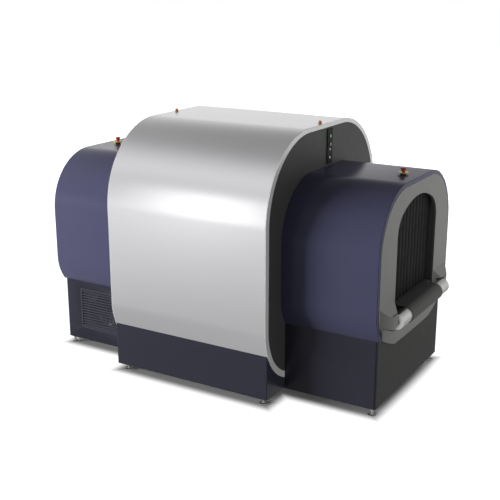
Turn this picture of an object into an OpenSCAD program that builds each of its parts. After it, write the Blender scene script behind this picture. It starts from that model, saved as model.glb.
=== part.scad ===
// Baggage CT scanner, millimetres, belt along X, entry at +X, front at -Y, floor at z = 0

/* [Centre section] */
// Length of the centre section along the belt
center_len = 1110; // [900:1:1400]
// How far the centre plinth stands in from the cover's sides
plinth_in = 31.5; // [20:0.5:45]
// Half width of the silver cover
cover_hw = 752; // [640:1:880]
// Height of the cover's top above the hoods
cover_rise = 264; // [225:1:320]
// Radius of the cover's upper corners
cover_r_top = 512; // [400:1:540]
// Height of the centre of the cover's lower corners
cover_low_z = 478; // [440:1:520]
// Radius of the cover's lower corners
cover_r_low = 388; // [340:1:420]
// Sheet thickness of the cover
cover_t = 5; // [3:0.5:10]
// Width of the cover's turned-in edge at the sides
rim_w = 38; // [20:1:50]
// Width of the cover's turned-in edge at the top
rim_top = 26; // [15:1:40]
// How far the turned-in edge stands out past the centre section
rim_out = 5.5; // [4.5:0.5:15]
// Thickness of the dark side walls
wall_t = 4; // [2:0.5:4.5]

/* [Hoods and side plinths] */
// Length of the hoods and side plinths
hood_len = 598; // [500:1:720]
// How far the side plinths stand in from the hood's sides
side_in = 58; // [40:1:75]
// Width of the hood beside the mouth
hood_side = 255; // [240:1:300]
// Height of the hood above the crown of the mouth
hood_over = 107; // [90:1:150]
// Radius of the hood's upper corners
hood_r_top = 370; // [260:1:400]
// Height of the centre of the hood's lower corners
hood_low_z = 642; // [620:1:660]
// Radius of the hood's lower corners
hood_r_low = 290; // [240:1:320]
// Sheet thickness of hoods and plinths
skin_t = 4; // [2:0.5:6]
// Width of the hood's rim around the bezel
hood_rim = 26; // [15:1:40]
// How far the hood rim stands out past the end panel
hood_out = 13; // [8:1:30]
// Thickness of the bezel
bezel_t = 15; // [9:1:32]

/* [Tunnel and conveyor] */
// Width of the arched mouth as a share of the cover's width
mouth_share = 0.4176; // [0.38:0.0001:0.45]
// Height of the crown of the mouth
mouth_crown = 1225; // [1050:1:1420]
// Rise of the arch of the mouth
arch_rise = 194; // [170:1:220]
// Radius of the shoulders of the arch
mouth_r = 150; // [80:1:160]
// Height of the roller axes
roller_z = 560; // [540:1:570]
// Distance of the roller axes beyond the end panels
roller_out = 57; // [55:1:70]
// Radius of the rollers under the belt
roller_r = 48; // [40:1:50]
// Radius of the bright roller sleeves
sleeve_r = 47; // [38:1:48]
// How far the roller sleeves reach past the sides of the mouth
sleeve_over = 73; // [50:1:85]
// Radius of the fixed axles of the rollers
axle_r = 7.5; // [6:0.5:9]
// How far the arms reach past the axes of the rollers
arm_over = 14; // [12:1:30]
// How far the chin under the rollers stands out past the bezel
chin_out = 32; // [20:1:40]
// Distance of the belt's edges from the sides of the mouth
belt_in = 64; // [50:1:90]
// Thickness of the belt
belt_t = 4; // [2:0.5:6]
// Radius of the return idlers
idler_r = 20; // [14:1:26]
// Distance of the conveyor legs from the centre section
leg_out = 75; // [65:1:110]
// Size of the conveyor legs
leg_s = 60; // [40:1:70]
// Number of strips in each curtain
strip_n = 12; // [6:1:14]
// Thickness of the curtain strips
strip_t = 4; // [2:0.5:8]
// Thickness of the tunnel liner
liner_t = 6; // [3:0.5:10]

/* [Gantry] */
// Height of the rotation axis above the middle of the tunnel
axis_lift = 19.65; // [10:0.05:30]
// Radial width of the rotor ring
rotor_band = 150; // [145:1:155]
// Thickness of the rotor plate
rotor_t = 40; // [30:1:60]
// Depth of the rotor drum behind the plate
drum_len = 270; // [260:1:330]
// Radius of the X-ray tube housing
tube_r = 55; // [45:1:58]
// Radius of the motor pulley
pulley_r = 45; // [30:1:50]
// Distance of the gantry motor from the cover's side
motor_in = 212; // [195:1:225]
// Height of the gantry motor
motor_z = 350; // [330:1:360]

/* [Base and controls] */
// Height of the frame above the floor
foot_h = 46; // [35:1:70]
// Radius of the foot pads
pad_r = 26.5; // [20:0.5:35]
// Height of the frame's rails
frame_h = 80; // [60:1:83]
// Number of louvres in the vent grille
louvre_n = 14; // [8:1:18]
// Distance of the vent grille from the ends of its plinth
grille_side = 118; // [90:1:140]
// Lower edge of the vent grille
grille_z0 = 131; // [130:1:145]
// Upper edge of the vent grille
grille_z1 = 416; // [410:1:430]
// Distance of the emergency stops from the end panels
estop_in = 91; // [70:1:200]
// Radius of the emergency stop heads
estop_r = 18; // [14:1:22]
// Travel of the emergency stops
estop_travel = 5; // [3:0.5:6]
// Width of the control strip
strip_w = 69; // [60:1:90]

/* [Hidden] */
$fn = 96;
// clearance between a surface and the one that turns or slides on it
run_gap = 0.3;
// radial clearance of a shaft in its bearing
shaft_fit = 0.05;
navy = [0.16, 0.16, 0.25];
silver = [0.78, 0.78, 0.79];
charcoal = [0.22, 0.22, 0.22];
bezel_grey = [0.45, 0.45, 0.45];
black = [0.08, 0.08, 0.08];
steel = [0.7, 0.7, 0.7];
frame_grey = [0.4, 0.42, 0.45];
half = center_len / 2;
wall_x = half + wall_t;
end_x = half + hood_len;
// the mouth, the hoods round it and the cover over them follow each other
mouth_hw = round(mouth_share * cover_hw);
mouth_spring = mouth_crown - arch_rise;
hood_hw = mouth_hw + hood_side;
hood_top = mouth_crown + hood_over;
cover_top = hood_top + cover_rise;
side_hw = hood_hw - side_in;
side_w = 2 * side_hw;
center_hw = cover_hw - plinth_in;
center_w = 2 * center_hw;
frame_z = foot_h + frame_h;
// a rounded outline narrows to the plinth at its seam
cover_seam = cover_low_z - sqrt(pow(cover_r_low, 2) - pow(cover_r_low - cover_hw + center_hw, 2));
hood_seam = hood_low_z - sqrt(pow(hood_r_low, 2) - pow(hood_r_low - hood_hw + side_hw, 2));
panel_x = end_x - skin_t;
face_x = end_x + bezel_t;
roller_x = end_x + roller_out;
belt_r = roller_r + run_gap;
wrap_r = belt_r + belt_t;
belt_hw = mouth_hw - belt_in;
belt_w = 2 * belt_hw;
sleeve_hw = mouth_hw + sleeve_over;
leg_x = half + leg_out;
belt_top = roller_z + wrap_r;
belt_low = roller_z - wrap_r;
idler_z = belt_low - run_gap - idler_r;
bed_hw = belt_hw + 12;
bed_z = roller_z + belt_r;
bed_end = end_x - 13;
shelf_z = belt_top - 12;
trough_hw = belt_hw + 25;
trough_z = belt_low - 12;
liner_gap = 4;
panel_top = belt_low - 14;
duct_hw = mouth_hw + 16;
duct_top = mouth_crown + 50;
duct_t = 8;
rod_x = end_x - 23;
rod_z = mouth_crown + 25;
rod_r = 5;
loop_r = 9;
axis_z = (trough_z + mouth_crown) / 2 + axis_lift;
// the rotor turns clear of the tunnel's lower corners, its shoulders and its crown
tunnel_far = max(norm([trough_hw + liner_t, axis_z - trough_z + liner_t]),
    norm([mouth_hw - mouth_r, mouth_spring - axis_z]) + mouth_r + liner_gap + liner_t,
    mouth_crown + liner_gap + liner_t - axis_z);
rotor_r = tunnel_far + 10;
rim_r = rotor_r + rotor_band;
drum_t = 10;
drum_r = rotor_r + drum_t;
race_r = rotor_r + 54;
stand_x = -3 * rotor_t;
stand_t = 40;
stand_r = race_r + 85;
motor_y = cover_hw - motor_in;
stand_hw = motor_y + 90;
pod_r = drum_r + 5;
rail_w = 80;
foot_x = half - 51;
foot_y = center_hw - 48;
side_foot_x = end_x - 29;
side_foot_y = side_hw - 29;
// the cross rail and the bay for the electronics between the legs and the end panel
cross_x = leg_x + 200;
cross_hw = 30;
bay_x = leg_x + 180;
bay_end = panel_x - 49;
bay_h = hood_seam - frame_z;
estop_x = end_x - estop_in;
brush_x = drum_len + 20;
bearing_r = 3 * axle_r;
bearing_w = 24;
axle_hw = sleeve_hw + 27;
arm_y = sleeve_hw + 3;
arm_x = roller_x + arm_over;
arm_end = hood_hw - hood_rim - 11;
arm_slope = 0.4;
// the chin: its front plane, top, lowest front edge, arc, slope and flat heel
chin_x = face_x + chin_out;
chin_top = belt_low - 6;
chin_low = chin_top - 90;
chin_r = 900;
chin_z = chin_low + chin_r;
chin_slope = 2.2;
chin_heel = chin_low - 27;
tube_mid = drum_r + 17 + tube_r;
shaft_drive_r = 14;
grille_x0 = panel_x - grille_side;
grille_x1 = wall_x + grille_side;
fan_x = -(grille_x0 + grille_x1) / 2;
fan_z = (grille_z0 + grille_z1) / 2;
fan_r = 112;
grille_t = skin_t + 4;
fan_y = grille_t - side_hw;
fan_t = 60;
fan_hub = 38;
estop_base_h = 12;
estop_disc_h = 3;
estop_stem_r = 9;
strip_x = wall_x + 6;
strip_y = strip_w / 2;
button_r = 11;
control_z = hood_top + 10;
control_h = cover_rise - rim_top - 20;
button_z = control_z + 0.785 * control_h;
key_z = control_z + 0.56 * control_h;
lamp_zs = [control_z + 0.41 * control_h, control_z + 0.185 * control_h];
lamp_r = 7;

// Helpers

// extrude an outline drawn in Y and Z along the belt
module along_x(x0, x1) {
    translate([x0, 0, 0]) rotate([90, 0, 90]) linear_extrude(x1 - x0) children();
}

// extrude an outline drawn in X and Z across the belt
module along_y(y0, y1) {
    translate([0, y1, 0]) rotate([90, 0, 0]) linear_extrude(y1 - y0) children();
}

// a piece drawn at the entry end, or its mirror at the exit end
module at_end(s) {
    if (s > 0) children();
    else mirror([1, 0, 0]) children();
}

module rod_x_way(x0, x1, y, z, r) {
    translate([x0, y, z]) rotate([0, 90, 0]) cylinder(h = x1 - x0, r = r);
}

module rod_y_way(y0, y1, x, z, r) {
    translate([x, y0, z]) rotate([-90, 0, 0]) cylinder(h = y1 - y0, r = r);
}

// outline with large round corners, narrowing below, inset by d
module round_outline(hw, top, r_top, low_z, r_low, d) {
    for (s = [-1, 1]) {
        translate([s * (hw - r_top), top - r_top]) circle(r = r_top - d);
        translate([s * (hw - r_low), low_z]) circle(r = r_low - d);
    }
    translate([r_top - hw, low_z]) square([2 * (hw - r_top), top - d - low_z]);
    translate([d - hw, low_z]) square([2 * (hw - d), top - r_top - low_z]);
    translate([r_low - hw, low_z - r_low + d]) square([2 * (hw - r_low), r_low - d]);
}

module cover_outline(d) {
    round_outline(cover_hw, cover_top, cover_r_top, cover_low_z, cover_r_low, d);
}

module wall_outline() {
    round_outline(cover_hw - rim_w, cover_top - rim_top, cover_r_top - rim_top, cover_low_z,
        cover_r_low - rim_w, 0);
}

module hood_outline(d) {
    round_outline(hood_hw, hood_top, hood_r_top, hood_low_z, hood_r_low, d);
}

// three-centred arch grown by d, standing on the height z0
module arch_outline(d, z0) {
    c = mouth_hw - mouth_r;
    rise = mouth_crown - mouth_spring;
    crown_r = (c * c + rise * rise - mouth_r * mouth_r) / (2 * (rise - mouth_r));
    crown_z = mouth_crown - crown_r;
    reach = (crown_r + d) / (mouth_spring - crown_z) * 1.2;
    translate([-(mouth_hw + d), z0]) square([2 * (mouth_hw + d), mouth_spring - z0]);
    for (s = [-1, 1]) translate([s * c, mouth_spring]) circle(r = mouth_r + d);
    intersection() {
        translate([0, crown_z]) circle(r = crown_r + d);
        polygon([[0, crown_z], [c * reach, crown_z + (mouth_spring - crown_z) * reach],
            [-c * reach, crown_z + (mouth_spring - crown_z) * reach]]);
    }
    translate([-c, mouth_spring]) square([2 * c, mouth_r]);
}

// space through the scanner for the bags above and the belt's return run below, grown by d
module tunnel_outline(d) {
    arch_outline(liner_gap + d, shelf_z - d);
    translate([-(trough_hw + d), trough_z - d]) square([2 * (trough_hw + d), shelf_z - trough_z + d]);
}

// ring around the rotation axis
module axis_ring(x0, x1, r0, r1) {
    along_x(x0, x1) translate([0, axis_z]) ring_outline(r0, r1);
}

// part of a ring around the rotation axis, spread by a angle each side of the angle mid
module axis_sector(x0, x1, r0, r1, mid, a) {
    along_x(x0, x1) translate([0, axis_z]) rotate(mid) intersection() {
        ring_outline(r0, r1);
        wedge(a, 2 * r1);
    }
}

// box on the rotor plate at the angle mid
module rotor_pod(mid, depth, width, len) {
    translate([0, 0, axis_z]) rotate([mid, 0, 0])
        translate([0, pod_r, -width / 2]) cube([len, depth, width]);
}

module ring_outline(r0, r1) {
    difference() {
        circle(r = r1);
        circle(r = r0);
    }
}

// wedge from the centre, spread by a angle each side
module wedge(a, far) {
    polygon([[0, 0], [far * cos(a), -far * sin(a)], [far * cos(a), far * sin(a)]]);
}

// belt of thickness t from a wheel of radius r0 to a smaller one of radius r1
module belt_outline(y0, z0, r0, y1, z1, r1, t) {
    d = norm([y1 - y0, z1 - z0]);
    way = atan2(z1 - z0, y1 - y0);
    lean = acos((r0 - r1) / d);
    run = d * sin(lean);
    thin = 0.4;
    translate([y0, z0]) rotate(way) {
        difference() {
            ring_outline(r0, r0 + t);
            wedge(lean, 3 * r0);
        }
        translate([d, 0]) intersection() {
            ring_outline(r1, r1 + t);
            wedge(lean, 3 * r1);
        }
        // the straight runs end inside the round ones
        rotate(lean) translate([r0 + thin, -run - 3]) square([t - 2 * thin, run + 13]);
        rotate(-lean) translate([r0 + thin, -10]) square([t - 2 * thin, run + 13]);
    }
}

// Base

module foot_places() {
    for (x = [-1, 1], y = [-1, 1]) {
        translate([x * foot_x, y * foot_y, 0]) children();
        translate([x * side_foot_x, y * side_foot_y, 0]) children();
    }
}

module base_frame() {
    hole_hw = center_hw - skin_t - 97;
    side_hole_hw = side_hw - skin_t - 100;
    stud_hole = 40;
    color(frame_grey) difference() {
        translate([0, 0, foot_h]) linear_extrude(frame_h) difference() {
            union() {
                square([2 * (half - skin_t), 2 * (center_hw - skin_t)], center = true);
                square([2 * panel_x, 2 * (side_hw - skin_t)], center = true);
            }
            // the rails left between these holes carry the stand and the brush block
            for (h = [[-half + 95, stand_x - stand_t - 30], [stand_x + 30, drum_len + 20],
                    [drum_len + 100, half - 95]])
                translate([h[0], -hole_hw]) square([h[1] - h[0], 2 * hole_hw]);
            for (s = [-1, 1], h = [[leg_x + leg_s, cross_x - cross_hw],
                    [cross_x + cross_hw, panel_x - rail_w]])
                translate([s > 0 ? h[0] : -h[1], -side_hole_hw]) square([h[1] - h[0], 2 * side_hole_hw]);
        }
        foot_places() translate([0, 0, foot_h - 1]) cylinder(h = stud_hole + 1, r = 8);
    }
}

module leveling_feet() {
    color(steel) foot_places() {
        cylinder(h = 6, r = pad_r);
        translate([0, 0, 6]) cylinder(h = 6, r = pad_r * 0.6);
        translate([0, 0, 12]) cylinder(h = foot_h + 18, r = 8);
    }
}

module lock_nuts() {
    color(steel) foot_places() translate([0, 0, foot_h - 12]) difference() {
        cylinder(h = 12, r = 14, $fn = 6);
        translate([0, 0, -1]) cylinder(h = 14, r = 8);
    }
}

module center_plinth() {
    pass_z = cover_seam - 35;
    color(navy) difference() {
        translate([-half, -center_hw, foot_h]) cube([center_len, center_w, cover_seam - foot_h]);
        translate([skin_t - half, skin_t - center_hw, 0])
            cube([center_len - 2 * skin_t, center_w - 2 * skin_t, cover_top]);
        translate([-half - 1, skin_t - side_hw, 0]) cube([center_len + 2, side_w - 2 * skin_t, pass_z]);
    }
}

// Covers

module center_cover() {
    color(silver) {
        difference() {
            along_x(-half, half) difference() {
                cover_outline(0);
                cover_outline(cover_t);
            }
            translate([-half - 1, -cover_hw, 0]) cube([center_len + 2, 2 * cover_hw, cover_seam]);
        }
        for (s = [-1, 1]) at_end(s) difference() {
            along_x(half, half + rim_out) difference() {
                cover_outline(0);
                wall_outline();
            }
            translate([half - 1, -side_hw, 0]) cube([rim_out + 2, side_w, cover_seam]);
        }
    }
}

module side_wall() {
    along_x(half, wall_x) difference() {
        wall_outline();
        tunnel_outline(0);
    }
}

module entry_wall() {
    color(charcoal) side_wall();
}

module exit_wall() {
    color(charcoal) at_end(-1) side_wall();
}

module hood() {
    difference() {
        union() {
            along_x(wall_x, end_x) difference() {
                hood_outline(0);
                hood_outline(skin_t);
            }
            along_x(end_x, end_x + hood_out) difference() {
                hood_outline(0);
                hood_outline(hood_rim);
            }
        }
        translate([half, -hood_hw, 0]) cube([end_x, 2 * hood_hw, hood_seam]);
    }
}

module entry_hood() {
    color(navy) hood();
}

module exit_hood() {
    color(navy) at_end(-1) hood();
}

module side_plinth() {
    tie_h = 28;
    h = hood_seam - foot_h;
    for (s = [-1, 1])
        translate([wall_x, s > 0 ? side_hw - skin_t : -side_hw, foot_h])
            cube([panel_x - wall_x, skin_t, h]);
    translate([panel_x - rail_w, -side_hw + skin_t, hood_seam - tie_h])
        cube([rail_w, side_w - 2 * skin_t, tie_h]);
}

module entry_plinth() {
    color(navy) side_plinth();
}

module exit_plinth() {
    color(navy) difference() {
        at_end(-1) side_plinth();
        translate([-grille_x0, -side_hw - 1, grille_z0])
            cube([grille_x0 - grille_x1, skin_t + 2, grille_z1 - grille_z0]);
    }
}

module end_panels() {
    seat_hw = side_hw - 60;
    color(charcoal) for (s = [-1, 1]) at_end(s) {
        translate([panel_x, -side_hw, foot_h]) cube([skin_t, side_w, hood_seam - foot_h]);
        translate([panel_x, -seat_hw, hood_seam]) cube([skin_t, 2 * seat_hw, panel_top - hood_seam]);
    }
}

module bezel() {
    relief = 3;
    difference() {
        union() {
            along_x(end_x, face_x) difference() {
                bezel_outline();
                arch_outline(0, panel_top);
            }
            chin();
        }
        rod_y_way(-arm_y, arm_y, roller_x, roller_z, sleeve_r + relief);
    }
}

// the hood's inset outline, closed below by a flat and the arc of the chin
module bezel_outline() {
    intersection() {
        hood_outline(hood_rim);
        translate([0, chin_z]) circle(r = chin_r + chin_slope * chin_out);
        translate([-hood_hw, chin_heel]) square([2 * hood_hw, hood_top]);
    }
}

// lip under the roller, its front edge a wide arc that slopes back to the bezel's outline
module chin() {
    flat = 4;
    len = bezel_t + chin_out;
    wing_z = chin_top + arm_slope * (hood_hw - arm_y);
    intersection() {
        along_x(end_x, chin_x) intersection() {
            bezel_outline();
            polygon([[-hood_hw, 0], [hood_hw, 0], [hood_hw, wing_z], [arm_y, chin_top],
                [-arm_y, chin_top], [-hood_hw, wing_z]]);
        }
        translate([end_x, 0, chin_z]) rotate([0, 90, 0])
            cylinder(h = len, r1 = chin_r + chin_slope * len, r2 = chin_r);
        along_y(-hood_hw, hood_hw) polygon([[end_x, chin_heel], [face_x, chin_heel],
            [chin_x, chin_low + flat], [chin_x, hood_top], [end_x, hood_top]]);
        union() {
            translate([end_x, -arm_y, 0]) cube([len, 2 * arm_y, hood_top]);
            for (t = [0, 1]) mirror([0, t, 0]) arm_sweep();
        }
    }
}

module entry_bezel() {
    color(bezel_grey) bezel();
}

module exit_bezel() {
    color(bezel_grey) at_end(-1) bezel();
}

module vent_grille() {
    border = 12;
    w = grille_x0 - grille_x1;
    h = grille_z1 - grille_z0;
    pitch = (h - 2 * border) / louvre_n;
    color(navy * 0.7) translate([-grille_x0, -side_hw, grille_z0]) {
        difference() {
            cube([w, grille_t, h]);
            translate([border, -1, border]) cube([w - 2 * border, grille_t + 2, h - 2 * border]);
        }
        // each louvre slants up and inward
        for (i = [0 : louvre_n - 1])
            translate([border, 0, border + (i + 0.15) * pitch]) rotate([90, 0, 90])
                linear_extrude(w - 2 * border)
                polygon([[0, 0], [grille_t, pitch * 0.5], [grille_t, pitch * 0.7], [0, pitch * 0.2]]);
    }
}

// Conveyor

module conveyor_bed() {
    plate_t = 4;
    side_t = 6;
    deep = 68;
    color(steel) along_x(-bed_end, bed_end) {
        translate([-bed_hw, bed_z - plate_t]) square([2 * bed_hw, plate_t]);
        for (s = [-1, 1])
            translate([s > 0 ? bed_hw - side_t : -bed_hw, bed_z - deep]) square([side_t, deep]);
    }
}

module conveyor_legs() {
    deep = 40;
    color(frame_grey) for (s = [-1, 1], t = [-1, 1]) difference() {
        translate([s * leg_x - leg_s / 2, t > 0 ? bed_hw : -bed_hw - deep, frame_z])
            cube([leg_s, deep, shelf_z - duct_t - frame_z]);
        rod_y_way(t > 0 ? bed_hw - 1 : -bed_hw - 30, t > 0 ? bed_hw + 30 : 1 - bed_hw, s * leg_x,
            idler_z, 8 + shaft_fit);
    }
}

module belt_loop(r) {
    for (s = [-1, 1]) translate([s * roller_x, roller_z]) circle(r = r);
    translate([-roller_x, roller_z - r]) square([2 * roller_x, 2 * r]);
}

module conveyor_belt() {
    color(black) along_y(-belt_hw, belt_hw) difference() {
        belt_loop(wrap_r);
        belt_loop(belt_r);
    }
}

// drum that turns on a bearing at each end of its fixed axle
module roller() {
    translate([roller_x, 0, roller_z]) rotate([-90, 0, 0]) difference() {
        union() {
            translate([0, 0, -sleeve_hw]) cylinder(h = 2 * sleeve_hw, r = sleeve_r);
            translate([0, 0, -belt_hw]) cylinder(h = belt_w, r = roller_r);
        }
        translate([0, 0, -sleeve_hw - 1]) cylinder(h = 2 * sleeve_hw + 2, r = 2 * axle_r);
        for (t = [0, 1]) mirror([0, 0, t]) translate([0, 0, sleeve_hw - bearing_w])
            cylinder(h = bearing_w + 1, r = bearing_r + shaft_fit);
    }
}

module entry_roller() {
    color(steel) roller();
}

module exit_roller() {
    color(steel) at_end(-1) roller();
}

// plan of an arm: swept back to the bezel's edge in one curve
module arm_sweep() {
    proud = arm_x - face_x;
    wide = arm_end - arm_y;
    sweep_r = (proud * proud + wide * wide) / (2 * proud);
    translate([arm_x - sweep_r, arm_y, 0]) cylinder(h = hood_top, r = sweep_r);
}

// arm outline in X and Z: a front that leans back below
module arm_outline() {
    lean_r = 115;
    lean_z = roller_z + 16;
    intersection() {
        translate([arm_x - lean_r, lean_z]) circle(r = lean_r);
        translate([face_x, belt_low]) square([lean_r, 2 * wrap_r]);
    }
}

// ramp from the arm's top up the bezel
module arm_ramp() {
    run = arm_x - face_x - 14;
    rise = 56;
    polygon([[face_x, belt_top], [face_x + run, belt_top], [face_x, belt_top + rise]]);
}

// arms that hold the axles, with lower edges that rise toward the sides
module roller_arms() {
    tip_z = belt_low + arm_slope * (arm_end - arm_y);
    color(bezel_grey) for (s = [-1, 1], t = [0, 1]) at_end(s) mirror([0, t, 0]) {
        difference() {
            intersection() {
                along_y(arm_y, arm_end) {
                    arm_outline();
                    arm_ramp();
                }
                arm_sweep();
                along_x(face_x, arm_x) intersection() {
                    hood_outline(hood_rim);
                    polygon([[arm_y, belt_low], [arm_end, tip_z], [arm_end, hood_top], [arm_y, hood_top]]);
                }
            }
            rod_y_way(arm_y - 1, axle_hw, roller_x, roller_z, axle_r);
        }
        // the ramp runs out toward the mouth
        intersection() {
            along_y(mouth_hw + 11, arm_y) arm_ramp();
            linear_extrude(hood_top) polygon([[face_x, mouth_hw + 11], [arm_x, arm_y], [face_x, arm_y]]);
        }
    }
}

module roller_axles() {
    color(steel) for (s = [-1, 1]) rod_y_way(-axle_hw, axle_hw, s * roller_x, roller_z, axle_r);
}

module roller_bearings() {
    color(steel) for (s = [-1, 1], t = [0, 1]) at_end(s) mirror([0, t, 0]) difference() {
        rod_y_way(sleeve_hw - bearing_w, sleeve_hw, roller_x, roller_z, bearing_r);
        rod_y_way(0, arm_y, roller_x, roller_z, axle_r);
    }
}

module idler() {
    translate([leg_x, 0, idler_z]) rotate([-90, 0, 0]) {
        translate([0, 0, -bed_hw - 28]) cylinder(h = 2 * bed_hw + 56, r = 8);
        translate([0, 0, -belt_hw - 5]) cylinder(h = belt_w + 10, r = idler_r);
    }
}

module entry_idler() {
    color(steel) idler();
}

module exit_idler() {
    color(steel) at_end(-1) idler();
}

// Tunnel

module tunnel_liner() {
    color([0.85, 0.85, 0.82]) along_x(-half, half) difference() {
        tunnel_outline(liner_t);
        tunnel_outline(0);
    }
}

module shield() {
    floor_z = shelf_z - duct_t;
    along_x(wall_x, end_x) difference() {
        translate([-duct_hw - duct_t, floor_z])
            square([2 * (duct_hw + duct_t), duct_top + duct_t - floor_z]);
        translate([-duct_hw, shelf_z]) square([2 * duct_hw, duct_top - shelf_z]);
        translate([-bed_hw - 4, floor_z - 1]) square([2 * bed_hw + 8, duct_t + 2]);
    }
}

module entry_shield() {
    color(frame_grey) shield();
}

module exit_shield() {
    color(frame_grey) at_end(-1) shield();
}

module curtain_rods() {
    color(steel) for (s = [-1, 1]) rod_y_way(-duct_hw, duct_hw, s * rod_x, rod_z, rod_r);
}

// strips with a loop at the top that hangs on the rod
module curtain() {
    pitch = 2 * (mouth_hw - 4) / strip_n;
    w = pitch - 2;
    tip_z = belt_top + 10;
    for (i = [0 : strip_n - 1]) {
        y0 = (i - strip_n / 2) * pitch + 1;
        difference() {
            union() {
                rod_y_way(y0, y0 + w, rod_x, rod_z, loop_r);
                translate([rod_x - strip_t / 2, y0, tip_z]) cube([strip_t, w, rod_z - tip_z - rod_r - 1]);
            }
            rod_y_way(y0 - 1, y0 + w + 1, rod_x, rod_z, rod_r + 2 * shaft_fit);
        }
    }
}

module entry_curtain() {
    color(black) curtain();
}

module exit_curtain() {
    color(black) at_end(-1) curtain();
}

// Gantry

module gantry_stand() {
    color(frame_grey) difference() {
        union() {
            along_x(stand_x - stand_t, stand_x) {
                translate([0, axis_z]) circle(r = stand_r);
                translate([-stand_hw, frame_z]) square([2 * stand_hw, axis_z - frame_z]);
            }
            translate([stand_x - stand_t - 30, -stand_hw, frame_z]) cube([stand_t + 60, 2 * stand_hw, 20]);
        }
        rod_x_way(stand_x - stand_t - 1, stand_x + 1, 0, axis_z, rotor_r + 4);
        rod_x_way(stand_x - stand_t - 1, stand_x + 1, motor_y, motor_z, 20);
    }
}

module bearing_outer() {
    color(steel) axis_ring(stand_x, -rotor_t - 6, race_r + shaft_fit, race_r + 55);
}

module bearing_inner() {
    color(steel) axis_ring(stand_x + 6, -rotor_t, rotor_r + 8, race_r);
}

module rotor_ring() {
    color([0.75, 0.76, 0.78]) difference() {
        union() {
            axis_ring(-rotor_t, 0, rotor_r, rim_r);
            axis_ring(0, drum_len, rotor_r, drum_r);
        }
        // slot for the fan beam under the tube
        translate([drum_len / 2 - 5, -60, axis_z + rotor_r - 20]) cube([10, 120, 60]);
    }
}

module xray_tube() {
    cap = 30;
    color([0.55, 0.57, 0.6]) {
        rod_x_way(0, cap, 0, axis_z + tube_mid, tube_r - 8);
        rod_x_way(cap, drum_len - 30, 0, axis_z + tube_mid, tube_r);
        rod_x_way(drum_len - 30, drum_len - 10, 0, axis_z + tube_mid, tube_r - 15);
    }
}

module collimator() {
    color([0.5, 0.5, 0.45]) difference() {
        axis_sector(drum_len / 2 - 60, drum_len / 2 + 60, drum_r, drum_r + 30, 90, 7);
        rod_x_way(0, drum_len, 0, axis_z + tube_mid, tube_r);
        translate([drum_len / 2 - 5, -40, axis_z + drum_r - 20]) cube([10, 80, 60]);
    }
}

// curved bank of detector modules opposite the tube
module detector_array() {
    module_n = 16;
    spread = 33;
    color([0.35, 0.4, 0.42]) difference() {
        axis_sector(0, drum_len - 20, pod_r + 10, pod_r + 75, 270, spread);
        for (i = [1 : module_n - 1])
            translate([0, 0, axis_z]) rotate([270 - spread + i * 2 * spread / module_n, 0, 0])
                translate([20, pod_r + 55, -1.5]) cube([drum_len - 60, 40, 3]);
    }
}

module hv_generator() {
    color([0.3, 0.32, 0.36]) rotor_pod(150, rotor_band - 45, 230, drum_len - 40);
}

module tube_cooler() {
    fin_n = 9;
    color([0.65, 0.66, 0.68]) difference() {
        rotor_pod(45, rotor_band - 50, 190, drum_len - 70);
        for (i = [0 : fin_n - 1]) translate([0, 0, axis_z]) rotate([45, 0, 0])
            translate([20 + i * 19, pod_r + 45, -96]) cube([9, 60, 192]);
    }
}

module data_module() {
    color([0.25, 0.35, 0.3]) rotor_pod(10, rotor_band - 60, 180, drum_len - 90);
}

module counterweight() {
    color([0.35, 0.35, 0.37]) axis_sector(0, 120, pod_r, pod_r + rotor_band - 35, 200, 9);
}

module slip_ring() {
    track = 12;
    color([0.75, 0.6, 0.35]) difference() {
        axis_ring(drum_len, brush_x, rotor_r, rim_r - 10);
        for (i = [0 : 3])
            axis_ring(brush_x - 3, brush_x + 1, drum_r + 20 + 2 * i * track,
                drum_r + 20 + (2 * i + 1) * track);
    }
}

module brush_block() {
    low_z = axis_z - rim_r + 15;
    color(black) {
        translate([brush_x + 10, -40, frame_z]) cube([40, 80, low_z - frame_z]);
        translate([brush_x + run_gap, -60, low_z]) cube([50 - run_gap, 120, 110]);
    }
}

module gantry_motor() {
    motor_r = 75;
    back = stand_x - stand_t;
    color([0.3, 0.3, 0.32]) difference() {
        union() {
            rod_x_way(back - 14, back, motor_y, motor_z, motor_r + 10);
            rod_x_way(back - 230, back - 14, motor_y, motor_z, motor_r);
        }
        rod_x_way(back - 30, back + 1, motor_y, motor_z, shaft_drive_r + shaft_fit);
    }
}

module motor_pulley() {
    color(steel) {
        rod_x_way(stand_x - stand_t - 28, 0, motor_y, motor_z, shaft_drive_r);
        rod_x_way(-rotor_t + 4, -4, motor_y, motor_z, pulley_r);
    }
}

module drive_belt() {
    drive_t = 5;
    color(black) along_x(-rotor_t + 7, -7)
        belt_outline(0, axis_z, rim_r + run_gap, motor_y, motor_z, pulley_r + run_gap, drive_t);
}

// Cooling and electronics

module fan_frame() {
    edge = fan_r + 8;
    strut_t = 8;
    back = fan_y + fan_t;
    color(black) {
        difference() {
            translate([fan_x - edge, fan_y, frame_z]) cube([2 * edge, fan_t, fan_z + edge - frame_z]);
            rod_y_way(fan_y - 1, back + 1, fan_x, fan_z, fan_r);
        }
        // crossed struts carry the hub and the pin that the impeller turns on
        translate([fan_x - fan_r - 4, back - strut_t, fan_z - 5]) cube([2 * fan_r + 8, strut_t - 1, 10]);
        translate([fan_x - 5, back - strut_t, fan_z - fan_r - 4]) cube([10, strut_t - 1, 2 * fan_r + 8]);
        rod_y_way(back - strut_t - 2, back, fan_x, fan_z, fan_hub);
        rod_y_way(fan_y + 12, back - strut_t, fan_x, fan_z, 6);
    }
}

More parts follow.
